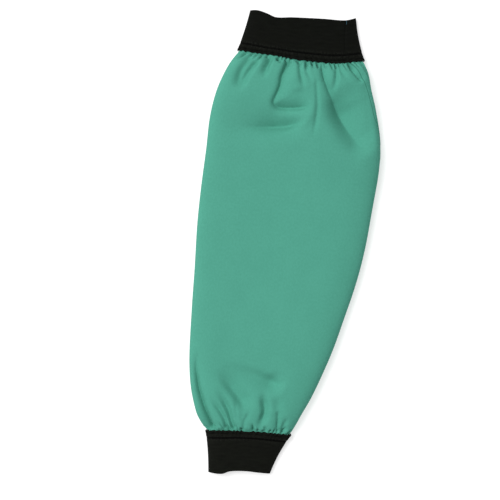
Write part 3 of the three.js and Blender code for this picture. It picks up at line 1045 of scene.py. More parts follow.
@dataclass
class ClothTube:
    """The gathered cotton tube, with its folds and its long felled seam."""

    form: SleeveForm
    finish: CottonTwill = field(default_factory=CottonTwill)
    cut_width: float = 360.0
    cut_length: float = 405.0
    wall: float = 1.1
    inner_step: float = 1.4  # how much deeper than the wall the inner face may lie beside a crease
    clearance: float = 0.05
    tuck: float = 9.0  # the length inside each cuff
    edge_inset: float = 1.2  # inside the cuff's outer face, at its sewn edge
    deep_inset: float = 2.3  # and further into the cuff
    inset_reach: float = 5.0
    side_factor: float = 1.5  # how much more it is inset at the sides
    rests_over: float = 9.0  # out of the cuffs, where the underside comes down to the floor
    fills_over: float = 22.0  # and where the section becomes as full as the body's
    upper_reach: float = 74.0  # how far the waves of the cuffs' edges go on in the body
    wrist_reach: float = 60.0
    # for each end, how far the finest and the next rings reach out of its sewn edge, and their pitch
    ring_pitches: dict[End, Pairs] = field(
        default_factory=lambda: {
            End.UPPER: ((26, 0.9), (96, 1.25)),
            End.WRIST: ((28, 0.9), (72, 1.5)),
        }
    )
    tucked_rings: int = 6
    middle_rings: int = 50
    ruffles: dict[End, Ruffle] = field(
        default_factory=lambda: {
            End.UPPER: Ruffle(
                pleats_over=24, pleats_under=17, pleat_depth=4.4, pleat_reach=13.0,
                waves=11, wave_depth=2.8, wave_reach=58.0, puff=1.9, seed=3,
            ),
            End.WRIST: Ruffle(
                pleats_over=17, pleats_under=12, pleat_depth=3.9, pleat_reach=11.0,
                waves=8, wave_depth=2.6, wave_reach=50.0, puff=1.7, seed=11,
            ),
        }
    )
    pleat_depths: Span = (0.45, 1.25)
    pleat_reaches: Span = (0.45, 1.7)
    pleat_hold: float = 0.25  # share of a pleat's reach over which it keeps its depth
    pleat_onset: Span = (-1.0, 2.2)
    tucked_pleats: float = 0.12  # share of the pleats' depth inside the cuff
    top_pleats: float = 0.55  # share of their reach on the top
    wave_depths: Span = (0.4, 1.0)
    wave_reaches: Span = (0.5, 1.0)
    wave_hold: float = 0.2
    wave_onset: float = 14.0
    top_waves: float = 0.2  # share of the waves' depth on the top
    wave_seed_step: int = 5
    puff_rise: Span = (-0.4, 3.5)
    puff_fall: Span = (6.0, 34.0)
    facing_up: Span = (0.3, 0.9)
    seam_width: float = 6.4
    seam_rise: float = 0.7
    seam_slope: Span = (0.7, 0.5)  # how far inside and outside its edges the seam slopes down
    stitch_rows: Span = (-2.1, 2.1)
    stitch_margin: float = 1.0
    unevenness: float = 0.55
    # the soft unevenness: size, then the turns along X and Y and the shift of two crossed waves
    swells: Sequence[tuple[float, tuple[float, float, float], tuple[float, float, float]]] = (
        (1.0, (2.1, 2.9, 0.4), (1.3, -2.3, 1.1)),
        (0.35, (6.3, 3.1, 2.0), (4.1, -5.2, 0.0)),
    )
    fold_margin: float = 3.0  # out of the cuffs, where the folds begin
    left_fade: float = 0.03  # share of the upper half over which the folds die out at the side
    right_fade: float = 0.09
    # along, and how far the long seam lies past the right-hand fold, negative on the top
    seam_lie: Pairs = (
        (0.0, 8.0), (0.1, 10.0), (0.4, 11.0), (0.6, 9.0), (0.75, 5.0), (0.842, -0.5),
        (0.863, -5.0), (0.892, -6.5), (0.928, -8.5), (0.961, -12.0), (1.0, -13.0),
    )
    folds: Sequence[Fold] = (
        Fold(
            "upper_1", Relief.VALLEY, left=2.2, right=3.0, depth=3.8, spread=1.6,
            line=((-19, 185), (-28, 173), (-33, 161), (-37, 149)),
        ),
        Fold(
            "upper_2", Relief.VALLEY, left=2.5, right=3.0, depth=4.4, spread=1.7,
            line=((-12, 182), (-22, 169), (-29, 158), (-34, 150)),
        ),
        Fold(
            "upper_3", Relief.VALLEY, left=1.8, right=3.0, depth=5.2, spread=1.8, start=0.05,
            line=((0.5, 186), (-2.5, 178), (-5.5, 170), (-9, 160)),
        ),
        Fold(
            "upper_4", Relief.VALLEY, left=1.3, right=1.8, depth=3.0, spread=1.0, start=0.05,
            line=((5, 185), (8, 181), (10.5, 176)),
        ),
        Fold(
            "pocket_edge", Relief.CREASE, left=2.9, right=1.5, depth=5.4,
            spread=1.6, start=0.03, finish=0.14,
            line=(
                (17, 182), (13.5, 173), (10.5, 165), (8.5, 155), (5.5, 147.5), (3, 142), (2.4, 138),
                (6, 134.4), (13, 133), (22, 132.8), (31.5, 133.6), (41, 135.5),
            ),
            along=(
                (0.0, 1.0), (0.26, 1.0), (0.42, 0.72), (0.54, 0.62), (0.66, 0.8), (0.8, 1.0),
                (1.0, 1.0),
            ),
        ),
        Fold(
            "pocket_neck", Relief.VALLEY, left=2.0, right=2.0, depth=1.2,
            spread=1.0, start=0.03, finish=0.6,
            line=((17.5, 182), (14.5, 173), (11.5, 164)),
        ),
        Fold(
            "pocket_floor", Relief.VALLEY, left=8.0, right=6.0, depth=2.4, spread=1.0, start=0.3,
            line=((-3, 137), (12, 134.5), (28, 135), (44, 139)),
        ),
        Fold(
            "pillow", Relief.SWELL, left=9.0, right=9.0, depth=1.8,
            spread=1.0, start=0.35, finish=0.35,
            line=((19, 170), (25, 157), (27, 147)),
        ),
        Fold(
            "upper_5", Relief.VALLEY, left=1.6, right=2.2, depth=2.6, spread=1.4, start=0.05,
            line=((28.7, 182), (28.7, 170), (30.6, 160), (32.6, 149)),
        ),
        Fold(
            "upper_6", Relief.VALLEY, left=1.6, right=2.0, depth=1.5, spread=1.3, start=0.05,
            line=((34.6, 180), (35, 170), (38, 163), (42, 157)),
        ),
        Fold(
            "pucker", Relief.VALLEY, left=1.2, right=1.6, depth=1.8, spread=1.2,
            line=((40.5, 181), (42, 170)),
        ),
        Fold(
            "long_crease", Relief.VALLEY, left=2.0, right=2.0, depth=1.4,
            spread=1.2, start=0.12, finish=0.35,
            line=((44, 165), (45, 150), (45.5, 137), (44.5, 124.5), (42.5, 113), (39.5, 100)),
        ),
        Fold(
            "bag_edge", Relief.CREASE, left=10.0, right=4.5, depth=9.0,
            spread=1.0, start=0.55, finish=0.35,
            line=((-33, 115), (-21, 114.5), (-9, 114), (4, 114), (17, 115), (27, 118.5), (37, 126)),
        ),
        Fold(
            "bag_hollow", Relief.VALLEY, left=20.0, right=15.0, depth=3.4,
            spread=1.0, start=0.4, finish=0.4,
            line=((-58, 120), (-40, 118), (-20, 117), (0, 117.5), (18, 121), (30, 128)),
        ),
        Fold(
            "bag_lip", Relief.SWELL, left=4.0, right=4.0, depth=1.0,
            spread=1.0, start=0.3, finish=0.3,
            line=((-8, 109), (14, 111), (28.5, 116.5), (37.5, 124.5), (40.5, 135), (41, 146)),
        ),
        Fold(
            "neck", Relief.CREASE, left=2.6, right=2.0, depth=4.8,
            spread=1.7, start=0.03, finish=0.4,
            line=((49.4, 181), (50.4, 172), (52.4, 162), (57, 150), (61, 141)),
        ),
        Fold(
            "valley", Relief.CREASE, left=18.0, right=5.0, depth=7.0, spread=1.2, start=0.35,
            line=(
                (53.5, 158), (57, 150), (61, 141), (65, 130.5), (70, 121), (77, 110.5), (86, 99),
                (97, 84),
            ),
        ),
        Fold(
            "valley_side", Relief.VALLEY, left=22.0, right=9.5, depth=8.4,
            spread=1.2, start=0.45, finish=0.2,
            line=((57, 150), (61, 141), (65, 130.5), (70, 121), (77, 110.5), (86, 99), (97, 84)),
            along=((0.0, 1.0), (0.5, 1.0), (0.7, 0.96), (0.86, 0.86), (1.0, 0.72)),
        ),
        Fold(
            "upper_7", Relief.VALLEY, left=1.6, right=2.0, depth=2.8,
            spread=1.8, start=0.04, finish=0.6,
            line=((62.7, 180), (64.2, 170), (64.2, 162), (62, 153), (60, 146)),
        ),
        Fold(
            "upper_8", Relief.VALLEY, left=1.8, right=2.0, depth=2.4,
            spread=2.0, start=0.05, finish=0.6,
            line=((65, 179), (69, 170), (73, 164), (79, 156)),
        ),
        Fold(
            "upper_9", Relief.CREASE, left=2.2, right=2.3, depth=3.8,
            spread=1.2, start=0.05, finish=0.25,
            line=((74.5, 180), (78, 173), (82, 168), (87, 163), (92, 159.5)),
        ),
        Fold(
            "wrist_1", Relief.CREASE, left=1.8, right=3.6, depth=7.2,
            spread=2.0, start=0.04, finish=0.42,
            line=(
                (-57.5, -184), (-61, -175), (-65, -165), (-69, -154), (-72.5, -144), (-74.5, -134),
                (-75, -124), (-73.5, -112.5), (-71, -100),
            ),
        ),
        Fold(
            "wrist_2", Relief.VALLEY, left=1.8, right=2.2, depth=3.2, spread=1.6, start=0.05,
            line=((-44, -182), (-45.5, -173), (-51, -163), (-56, -156), (-62, -148)),
        ),
        Fold(
            "wrist_3", Relief.VALLEY, left=2.2, right=2.4, depth=4.2, spread=1.7, start=0.05,
            line=((-36, -183), (-39, -174), (-41.5, -165), (-45, -157), (-49.5, -149), (-56, -140)),
        ),
        Fold(
            "wrist_hook", Relief.VALLEY, left=1.5, right=1.8, depth=0.9, spread=1.4, start=0.05,
            line=((-27, -183), (-26, -174), (-22, -166), (-22, -159)),
        ),
        Fold(
            "wrist_soft", Relief.VALLEY, left=4.6, right=9.0, depth=5.6,
            spread=1.1, start=0.3, finish=0.45,
            line=(
                (-21, -167), (-27.7, -157), (-32.6, -149.2), (-39.5, -140.3), (-46.4, -131.4),
                (-54, -123),
            ),
        ),
        Fold(
            "wrist_4", Relief.VALLEY, left=3.2, right=3.2, depth=4.8,
            spread=1.3, start=0.4, finish=0.3,
            line=((-12, -185), (-10, -176), (-7, -169), (-6, -162), (-7, -154), (-8, -143)),
        ),
        Fold(
            "wrist_5", Relief.VALLEY, left=1.3, right=1.5, depth=2.0, spread=1.2,
            line=((-4, -186), (-7, -178)),
        ),
        Fold(
            "wrist_6", Relief.CREASE, left=2.4, right=2.0, depth=3.0,
            spread=1.3, start=0.05, finish=0.35,
            line=((5.4, -186), (6.4, -177), (6.9, -169), (6.4, -163)),
        ),
        Fold(
            "wrist_7", Relief.VALLEY, left=2.0, right=2.0, depth=2.0, spread=1.3, start=0.08,
            line=((9, -186), (13, -177), (17, -168)),
        ),
        Fold(
            "wrist_hollow", Relief.VALLEY, left=5.0, right=5.0, depth=1.8,
            spread=1.0, start=0.5, finish=0.4,
            line=((4, -147), (6.5, -158), (8, -171)),
        ),
        Fold(
            "dimple", Relief.VALLEY, left=6.5, right=12.0, depth=5.4,
            spread=0.8, start=0.75, finish=0.35,
            line=(
                (-64, -119), (-48, -121), (-30, -125), (-14, -130), (-3, -135), (7, -139),
                (14, -142),
            ),
        ),
        Fold(
            "dimple_end", Relief.VALLEY, left=9.0, right=8.0, depth=1.8,
            spread=1.0, start=0.45, finish=0.4,
            line=((-1, -125), (1, -131), (3, -138), (4, -143)),
        ),
    )

    def ring_places(self) -> np.ndarray:
        """Gives the rings' distances from the wrist cuff's sewn edge, denser near the cuffs.

        Returns:
            The distances, in millimetres, negative inside the wrist cuff.
        """
        near = {}
        for end in End:
            reach, parts = 0, [np.linspace(-self.tuck, 0, self.tucked_rings + 1)[:-1]]
            for next_reach, pitch in self.ring_pitches[end]:
                parts.append(np.arange(reach, next_reach, pitch))
                reach = next_reach
            near[end] = np.concatenate(parts)
        wrist, upper = near[End.WRIST], self.form.length - near[End.UPPER]
        middle = np.linspace(wrist[-1], upper[-1], self.middle_rings + 2)[1:-1]
        return np.concatenate([wrist, middle, upper[::-1]])

    def tucked_section(self, end: End, distance: float) -> Section:
        """Gives the cloth's section inside a cuff.

        Args:
            end: Which cuff.
            distance: How far out of the cuff's sewn edge, negative inside.

        Returns:
            The section there.
        """
        deep = float(smooth_step(0, self.inset_reach, -distance))
        inset = mix(self.edge_inset, self.deep_inset, deep)
        down = min(1.0, 1 + distance / self.form.cuff_length)
        return self.form.cuff_section(end, down, self.side_factor * inset, inset)

    def base_rings(self) -> np.ndarray:
        """Lays out the plain tube, before its gathers and folds.

        Returns:
            The points, rings by columns by 3.
        """
        form = self.form
        middle, half = form.middle_x, form.half_width
        wrist, upper = (self.tucked_section(end, 0.0) for end in (End.WRIST, End.UPPER))
        rows = [(0.0, wrist.left, wrist.right, wrist.top)]
        for along, left, right, height in form.outline:
            top = height * form.body_height
            rows.append((along, middle - left * half, middle + right * half, top))
        rows.append((1.0, upper.left, upper.right, upper.top))
        columns = [[(row[0], row[k]) for row in rows] for k in (1, 2, 3)]
        points = []
        for place in self.ring_places():
            past = {End.WRIST: place, End.UPPER: form.length - place}
            inside = [end for end in End if past[end] < 0]
            if inside:
                section = self.tucked_section(inside[0], past[inside[0]])
            else:
                along = place / form.length
                left, right, top = (float(curve_through(column, along)) for column in columns)
                rests = float(smooth_step(0, self.rests_over, min(past.values())))
                floor = self.edge_inset * (1 - rests)
                section = Section(left, right, floor, top)
            fullness = float(smooth_step(0, self.fills_over, min(past.values())))
            x, across, z = form.draw(section, fullness).T
            y = np.full_like(x, form.seam_y[End.WRIST] + place)
            for end, reach in ((End.UPPER, self.upper_reach), (End.WRIST, self.wrist_reach)):
                down = min(1.0, 1 + past[end] / form.cuff_length)
                y += form.cuff_rise(end, across, down) * (1 - smooth_step(0, reach, past[end]))
            points.append(np.column_stack([x, y, z]))
        return np.array(points)

    def gather_height(self, end: End, past: np.ndarray, upward: np.ndarray) -> np.ndarray:
        """Gives the height of the gathers at one end.

        Args:
            end: Which end.
            past: Each ring's distance out of that end's sewn edge.
            upward: How far each point faces up, from 0 to 1.

        Returns:
            The heights, rings by columns, in millimetres.
        """
        ruffle = self.ruffles[end]
        gathers = Gathers(self.form, ruffle)
        dice = np.random.default_rng(ruffle.seed)
        valley_share, _ = gathers.pleats()
        over = np.arange(self.form.columns) < self.form.columns_over
        out = past[:, None]
        depth = ruffle.pleat_depth * gathers.pleat_sizes(dice, self.pleat_depths)
        reach = ruffle.pleat_reach * gathers.pleat_sizes(dice, self.pleat_reaches)
        reach *= np.where(over, self.top_pleats, 1.0)
        sets_in = mix(self.tucked_pleats, 1.0, smooth_step(*self.pleat_onset, out))
        dies_out = smooth_step(self.pleat_hold, 1.0, out / reach)
        height = -depth * valley_share * sets_in * (1 - dies_out)
        place, wave = gathers.columns((ruffle.waves, ruffle.waves), ruffle.seed + self.wave_seed_step)
        depth = ruffle.wave_depth * dice.uniform(*self.wave_depths, 2 * ruffle.waves)[wave]
        depth *= np.where(over, self.top_waves, 1.0)
        reach = ruffle.wave_reach * dice.uniform(*self.wave_reaches, 2 * ruffle.waves)[wave]
        hollow = 0.5 + 0.5 * np.cos(2 * math.pi * place)
        sets_in = smooth_step(0, self.wave_onset, out)
        dies_out = smooth_step(self.wave_hold, 1.0, out / reach)
        height -= depth * hollow * sets_in * (1 - dies_out)
        puff = smooth_step(*self.puff_rise, out) * (1 - smooth_step(*self.puff_fall, out))
        return height + ruffle.puff * puff * upward

    def fold_height(self, points: np.ndarray, past: dict[End, np.ndarray]) -> np.ndarray:
        """Gives the height of the upper layer's own folds and its soft unevenness.

        Args:
            points: The plain tube's points.
            past: Each ring's distance out of each end's sewn edge.

        Returns:
            The heights, rings by columns, in millimetres.
        """
        form = self.form
        over = form.columns_over
        plan = points[:, : over + 1, :2].reshape(-1, 2)
        height = np.zeros(len(plan))
        for fold in self.folds:
            height += fold.height(form.plan(fold.line), plan)
            LOG.debug("fold %s: %.1f mm deep", fold.name, fold.depth)
        height = height.reshape(len(points), over + 1)
        share = np.arange(over + 1) / over
        height *= smooth_step(0, self.left_fade, share) * smooth_step(0, self.right_fade, 1 - share)
        whole = np.zeros(points.shape[:2])
        whole[:, : over + 1] = height
        x, y = points[..., 0] / form.half_width, points[..., 1] / form.half_width
        soft = np.zeros_like(x)
        for size, first, second in self.swells:
            waves = [np.sin(wave[0] * x + wave[1] * y + wave[2]) for wave in (first, second)]
            soft += size * waves[0] * waves[1]
        whole += self.unevenness * soft
        begins = [smooth_step(0.0, self.fold_margin, past[end]) for end in End]
        return whole * (begins[0] * begins[1])[:, None]

    def seam_gap(self, points: np.ndarray, places: np.ndarray) -> np.ndarray:
        """Measures how far each point is from the long seam, round the tube.

        Args:
            points: The tube's points.
            places: Each ring's distance from the wrist cuff's sewn edge.

        Returns:
            The distances, rings by columns, in millimetres, negative towards the left-hand fold.
        """
        travelled = travelled_round(points)
        fold = travelled[:, self.form.columns_over]
        return travelled - (fold + curve_through(self.seam_lie, places / self.form.length))[:, None]

    def inner_height(self, height: np.ndarray) -> np.ndarray:
        """Gives the height of the cloth's inner face, which keeps clear of the sharp folds.

        Args:
            height: The height of its outer face, rings by columns.

        Returns:
            The heights of the inner face, rings by columns, in millimetres.
        """
        lowest = height
        for _ in range(2):
            rings = np.pad(lowest, ((1, 1), (0, 0)), mode="edge")
            lowest = np.minimum(np.minimum(rings[:-2], rings[2:]), lowest)
            lowest = np.minimum(np.minimum(np.roll(lowest, 1, 1), np.roll(lowest, -1, 1)), lowest)
        return np.maximum(lowest, height - self.inner_step) - self.wall

    def build(self) -> bpy.types.Object:
        """Models the tube and dresses it.

        Returns:
            The piece.
        """
        form = self.form
        places = self.ring_places()
        past = {End.WRIST: places, End.UPPER: form.length - places}
        base = self.base_rings()
        normals = grid_normals(base)
        upward = smooth_step(*self.facing_up, normals[..., 2])
        height = self.fold_height(base, past)
        for end in End:
            height += self.gather_height(end, past[end], upward)
        gap = self.seam_gap(base, places)
        half = self.seam_width / 2
        slope_in, slope_out = self.seam_slope
        height += self.seam_rise * (1 - smooth_step(half - slope_in, half + slope_out, np.abs(gap)))
        outer = base + normals * height[..., None]
        outer[..., 2] = np.maximum(outer[..., 2], self.clearance)
        inner = np.union1d(np.arange(0, len(places), 2), [len(places) - 1])[::-1]
        inside = base + normals * self.inner_height(height)[..., None]
        inside[..., 2] = np.maximum(inside[..., 2], self.clearance + self.wall)
        normals = grid_normals(outer)
        rows = np.concatenate([outer, inside[inner]])
        u = np.linspace(0, self.cut_width, form.columns + 1)
        v = np.concatenate([places, places[inner]]) + self.tuck
        piece = shell_object("cloth_tube", rows, u, v)
        add_distance(piece, "seam", np.concatenate([gap, gap[inner]]))
        piece.data.materials.append(self.finish.material())
        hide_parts("sleeve_body")
        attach(piece, "root")
        self.outer, self.normals, self.gap, self.past = outer, normals, gap, past
        LOG.info("cloth_tube: %d faces", len(piece.data.polygons))
        return piece

    def seam_paths(self) -> list[StitchPath]:
        """Gives the two lines of stitches that hold the long seam.

        Returns:
            The lines.
        """
        paths = []
        free = np.minimum(self.past[End.WRIST], self.past[End.UPPER]) > self.stitch_margin
        for offset in self.stitch_rows:
            points, normals = [], []
            for ring, normal, gap in zip(self.outer[free], self.normals[free], self.gap[free]):
                points.append([np.interp(offset, gap, column) for column in ring.T])
                normals.append([np.interp(offset, gap, column) for column in normal.T])
            paths.append(StitchPath(np.array(points), np.array(normals)))
        return paths


@dataclass(frozen=True)
class BandJoin:
    """The lapped join of an elastic band, placed by its distances in from the right-hand fold."""

    at_free_edge: float
    at_sewn_edge: float
    lap: float = 8.5
    step: float = 0.35
    step_run: float = 0.9
    end_run: float = 1.2
    groove: float = 0.55
    groove_width: float = 0.9


@dataclass
class ElasticCuff:
    """A wide band of elastic sewn round one end of the tube."""

    form: SleeveForm
    end: End
    name: str
    node: str
    ruffle: Ruffle
    join: BandJoin
    finish: RibbedElastic = field(default_factory=RibbedElastic)
    wall: float = 1.6
    sewn_wall: float = 1.05
    edge_radius: float = 0.45
    thins_from: float = 0.6
    clearance: float = 0.02
    stitch_line: float = 7.4  # from the sewn edge
    stitch_groove: float = 1.0
    groove_width: float = 0.9
    hem_line: float = 2.7
    hem_groove: float = 0.4
    side_grooves: float = 0.3  # share of the grooves' depth at the sides
    facing_up: Span = (0.2, 0.8)
    scallop: float = 1.5
    scallop_sizes: Span = (0.3, 1.0)
    scallop_reach: float = 4.5
    pucker: float = 0.8
    pucker_hold: float = 2.0
    pucker_past: float = 3.0  # how far past the stitches the puckers reach
    outer_rows: int = 58
    inner_skip: int = 3  # the inner face has one row for this many of the outer face's
    edge_turns: int = 4  # points of a quarter turn of the rounded edges
    round_halves: float = 4.2  # the way round the sewn edge, in half widths
    row_check: float = 1.0  # how far beside the stitches the band's slope is read

    def surface(self, down: np.ndarray) -> np.ndarray:
        """Lays out the band's plain outer face.

        Args:
            down: The rows, from 0 at the free edge to 1 at the sewn edge.

        Returns:
            The points, rows by columns by 3.
        """
        form = self.form
        points = []
        for row in down:
            x, across, z = form.draw(form.cuff_section(self.end, float(row))).T
            y = form.seam_y[self.end] + self.end.value * form.cuff_length * (1 - row)
            points.append(np.column_stack([x, y + form.cuff_rise(self.end, across, float(row)), z]))
        return np.array(points)

    def profile(self) -> list[tuple[float, float]]:
        """Draws the band's cut through its wall, from the outer face round the sewn edge and back.

        Returns:
            For each row, its place down the band, and its depth: 0 on the outer face, 1 on the inner
            face, and a little in from them on the rounded edges.
        """
        run_radius = self.edge_radius / self.form.cuff_length
        depth_radius = self.edge_radius / self.sewn_wall
        rows = np.linspace(run_radius, 1 - run_radius, self.outer_rows)
        bend = []
        for turn in np.linspace(0, math.pi / 2, self.edge_turns):
            bend.append((run_radius * (1 - math.sin(turn)), depth_radius * (1 - math.cos(turn))))
        outer = [(float(row), 0.0) for row in rows]
        sewn = [(1 - run, depth) for run, depth in bend[1:]]
        sewn += [(1 - run, 1 - depth) for run, depth in bend[::-1]]
        inner = [(float(row), 1.0) for row in rows[::-1][2 :: self.inner_skip]]
        free = [(run, 1 - depth) for run, depth in bend]
        free += [(run, depth) for run, depth in bend[:0:-1]]
        return outer + sewn + inner + free

    def join_gap(self, points: np.ndarray, down: np.ndarray) -> np.ndarray:
        """Measures how far each point is from the band's join, positive on its lapped side.

        Args:
            points: The band's points.
            down: The rows, from 0 at the free edge to 1 at the sewn edge.

        Returns:
            The distances, rows by columns, in millimetres.
        """
        travelled = travelled_round(points)
        fold = travelled[:, self.form.columns_over]
        inward = mix(self.join.at_free_edge, self.join.at_sewn_edge, down)
        return travelled - (fold - inward)[:, None]

    def groove(self, from_seam: np.ndarray, line: float, depth: float) -> np.ndarray:
        """Gives the depth of a groove that runs round the band.

        Args:
            from_seam: The distances from the sewn edge.
            line: Where the groove runs.
            depth: How deep it is.

        Returns:
            The depths, in millimetres.
        """
        return depth * np.exp(-(((from_seam - line) / self.groove_width) ** 2))

    def relief(self, points: np.ndarray, normals: np.ndarray, down: np.ndarray) -> np.ndarray:
        """Gives the height of the grooves, the join and the puckers over the gathers.

        Args:
            points: The band's points.
            normals: The directions out of the band there.
            down: The rows, from 0 at the free edge to 1 at the sewn edge.

        Returns:
            The heights, rows by columns, in millimetres.
        """
        from_seam = ((1 - down) * self.form.cuff_length)[:, None]
        height = -self.groove(from_seam, self.stitch_line, self.stitch_groove)
        height = height - self.groove(from_seam, self.hem_line, self.hem_groove)
        facing = smooth_step(*self.facing_up, np.abs(normals[..., 2]))
        height = height * mix(self.side_grooves, 1.0, facing)
        valley_share, _ = Gathers(self.form, self.ruffle).pleats()
        fades = smooth_step(self.pucker_hold, self.stitch_line + self.pucker_past, from_seam)
        swell = self.pucker * (0.5 - valley_share) * (1 - fades)
        gap = self.join_gap(points, down)
        join = self.join
        rises = smooth_step(0.0, join.step_run, gap)
        lap = join.step * rises * (1 - smooth_step(join.lap, join.lap + join.end_run, gap))
        groove = -join.groove * np.exp(-((gap / join.groove_width) ** 2))
        return height + swell + lap + groove

    def edge_waves(self, down: np.ndarray) -> np.ndarray:
        """Gives how far the sewn edge is scalloped by the gathers under it.

        Args:
            down: The rows, from 0 at the free edge to 1 at the sewn edge.

        Returns:
            The shifts towards the body, rows by columns, in millimetres.
        """
        gathers = Gathers(self.form, self.ruffle)
        valley_share, _ = gathers.pleats()
        dice = np.random.default_rng(self.ruffle.seed + 1)
        sizes = gathers.pleat_sizes(dice, self.scallop_sizes)
        from_seam = ((1 - down) * self.form.cuff_length)[:, None]
        fades = smooth_step(0.0, self.scallop_reach, from_seam)
        return self.scallop * sizes * (valley_share - 0.5) * (1 - fades)

    def build(self) -> bpy.types.Object:
        """Models the band and dresses it.

        Returns:
            The piece.
        """
        form = self.form
        down, depth = np.array(self.profile()).T
        spaced = np.unique(np.round(down, 6))
        normals = -self.end.value * grid_normals(self.surface(spaced))
        normals = normals[np.searchsorted(spaced, np.round(down, 6))]
        points = self.surface(down)
        wall = mix(self.wall, self.sewn_wall, smooth_step(self.thins_from, 1.0, down))
        height = self.relief(points, normals, down) - (depth * wall)[:, None]
        rows = points + normals * height[..., None]
        rows[..., 1] -= self.end.value * self.edge_waves(down)
        rows[..., 2] = np.maximum(rows[..., 2], self.clearance)
        if self.end is End.UPPER:
            rows, down = rows[::-1], down[::-1]
        way_round = self.round_halves * form.seam_half[self.end]
        round_it = np.linspace(0, way_round, form.columns + 1)
        piece = shell_object(self.name, rows, round_it, down * form.cuff_length)
        from_row = (1 - down) * form.cuff_length - self.stitch_line
        add_distance(piece, "row", np.repeat(from_row, form.columns))
        piece.data.materials.append(self.finish.material())
        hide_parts(self.node)
        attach(piece, "root")
        LOG.info("%s: %d faces", self.name, len(piece.data.polygons))
        return piece

    def stitch_path(self) -> StitchPath:
        """Gives the line of stitches round the band.

        Returns:
            The line.
        """
        beside = self.row_check * np.array([1.0, 0.0, -1.0])
        down = 1 - (self.stitch_line + beside) / self.form.cuff_length
        points = self.surface(down)
        normals = -self.end.value * grid_normals(points)
        height = self.relief(points, normals, down)[..., None]
        return StitchPath((points + normals * height)[1], normals[1], closed=True)


@dataclass
class ThreadEnd:
    """The loose end of sewing thread that stands out of the upper band's join at its free edge."""

    cuff: ElasticCuff
    finish: SewingThread
    length: float = 3.2
    thickness: float = 0.45
    sides: int = 8
    steps: int = 9
    rows: tuple[float, float, float] = (0.004, 0.02, 0.06)  # down the band, the middle one its root
    lift: float = 0.1
    tip_right: float = 0.5
    tip_up: float = 0.25
    leans: Span = (-0.35, 0.5)
    smooth_angle: float = math.radians(60)

    def build(self) -> bpy.types.Object:
        """Models the thread as a short bent tube, swept from a circle.

        Returns:
            The piece.
        """
        rows = np.array(self.rows)
        points = self.cuff.surface(rows)
        normals = -self.cuff.end.value * grid_normals(points)
        column = int(np.argmin(np.abs(self.cuff.join_gap(points, rows)[1])))
        root = points[1, column] + self.lift * normals[1, column]
        bpy.ops.object.select_all(action="DESELECT")
        bpy.ops.curve.primitive_bezier_curve_add(location=(0, 0, 0))
        thread = bpy.context.object
        thread.name = "thread_end"
        spline = thread.data.splines[0]
        tip = root + np.array([self.tip_right, -self.length, self.tip_up])
        for point, place, lean in zip(spline.bezier_points, (root, tip), self.leans):
            handle = np.array([lean, self.length / 3, self.lift])
            point.co = Vector(place * MM)
            point.handle_left = Vector((place + handle) * MM)
            point.handle_right = Vector((place - handle) * MM)
        thread.data.bevel_depth = self.thickness / 2 * MM
        thread.data.bevel_resolution = self.sides // 4
        thread.data.resolution_u = self.steps
        thread.data.use_fill_caps = True
        bpy.ops.object.convert(target="MESH")
        thread.data.materials.append(self.finish.material())
        bpy.ops.object.shade_smooth_by_angle(angle=self.smooth_angle)
        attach(thread, "root")
        LOG.info("thread_end: %d faces", len(thread.data.polygons))
        return thread


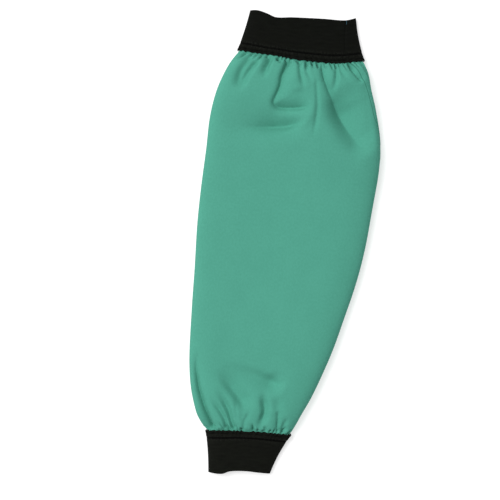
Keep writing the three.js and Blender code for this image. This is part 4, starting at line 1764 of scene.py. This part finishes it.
@dataclass
class Studio:
    """The white floor, the soft lights and the camera straight above."""

    floor_size: float = 6.0  # in metres, as the camera's sizes are
    camera_distance: float = 3.0
    camera_spot: tuple[float, float] = (-0.0289, -0.0091)
    view_width: float = 0.494
    view_depth: float = 20.0
    sensor_width: float = 36.0
    turn: float = math.radians(7.95)
    key_strength: float = 2.75
    key_lift: float = math.radians(57)
    key_left: float = math.radians(57)  # from the image's top towards its left
    key_spread: float = math.radians(40)
    fill: float = 0.42

    def build(self) -> None:
        """Sets up the floor, the lights and the camera."""
        bpy.ops.object.select_all(action="DESELECT")
        bpy.ops.mesh.primitive_plane_add(size=self.floor_size, location=(0, 0, 0))
        floor = bpy.context.object
        floor.name = "studio_floor"
        floor.data.materials.append(StudioFloor().material())
        self.add_key()
        self.add_world()
        self.add_camera()
        bpy.context.scene.view_settings.view_transform = "Standard"

    def add_key(self) -> None:
        """Adds the large soft light from the image's top left."""
        heading = self.turn + math.pi / 2 + self.key_left
        flat = math.cos(self.key_lift)
        aim = Vector((math.cos(heading) * flat, math.sin(heading) * flat, math.sin(self.key_lift)))
        data = bpy.data.lights.new("key", "SUN")
        data.energy = self.key_strength
        data.angle = self.key_spread
        key = bpy.data.objects.new("key", data)
        key.location = aim
        key.rotation_mode = "QUATERNION"
        key.rotation_quaternion = aim.to_track_quat("Z", "Y")
        bpy.context.scene.collection.objects.link(key)

    def add_world(self) -> None:
        """Surrounds the scene with even white light."""
        world = bpy.data.worlds.new("studio")
        world.use_nodes = True
        background = world.node_tree.nodes["Background"]
        background.inputs["Color"].default_value = (1.0, 1.0, 1.0, 1.0)
        background.inputs["Strength"].default_value = self.fill
        bpy.context.scene.world = world

    def add_camera(self) -> None:
        """Adds the camera, looking straight down."""
        data = bpy.data.cameras.new("camera")
        data.sensor_width = self.sensor_width
        data.lens = data.sensor_width * self.camera_distance / self.view_width
        data.clip_end = self.view_depth
        camera = bpy.data.objects.new("camera", data)
        camera.location = (*self.camera_spot, self.camera_distance)
        camera.rotation_euler = (0.0, 0.0, self.turn)
        bpy.context.scene.collection.objects.link(camera)
        bpy.context.scene.camera = camera


def main() -> None:
    """Builds the sleeve piece by piece, then the studio."""
    logging.basicConfig(level=logging.INFO, format="%(name)s: %(message)s")
    # near-black, partly the thread's own colour and partly painted shadow of its needle holes
    black = SewingThread(
        "black_thread", (0.0016, 0.0016, 0.0014), (0.0008, 0.0008, 0.0008), roughness=0.8, gloss=0.04
    )
    green = SewingThread("green_thread", (0.075, 0.30, 0.225), (0.05, 0.22, 0.16))
    blue = SewingThread("blue_thread", (0.03, 0.11, 0.16), (0.02, 0.07, 0.11))
    form = SleeveForm()
    tube = ClothTube(form)
    cloth = tube.build()
    seam_stitches = Stitching("long_seam_stitches", green, "cloth", thickness=0.4, sink=0.1)
    seam = seam_stitches.sew(tube.seam_paths())
    cuffs = (
        ElasticCuff(
            form, End.UPPER, "upper_band", "upper_cuff", tube.ruffles[End.UPPER],
            BandJoin(at_free_edge=12.0, at_sewn_edge=22.0),
            # a darker copy of the elastic, as painted shade: the upper band's slope catches more of
            # the key light
            RibbedElastic(dark=(0.0018, 0.0021, 0.0014), light=(0.0048, 0.0056, 0.0040)),
        ),
        ElasticCuff(
            form, End.WRIST, "wrist_band", "wrist_cuff", tube.ruffles[End.WRIST],
            BandJoin(at_free_edge=-22.0, at_sewn_edge=-28.0),
        ),
    )
    for cuff in cuffs:
        band = cuff.build()
        # thick stitches also cover their needle holes, so they stand in for the holes' shadow as well:
        # partly real thread, partly painted shadow
        band_stitches = Stitching(
            f"{cuff.name}_stitches", black, "elastic", pitch=3.6, stitch_length=2.4, thickness=1.25
        )
        row = band_stitches.sew([cuff.stitch_path()])
        sewn = [row, ThreadEnd(cuff, blue).build()] if cuff.end is End.UPPER else [row]
    Studio().build()


if __name__ == "__main__":
    main()
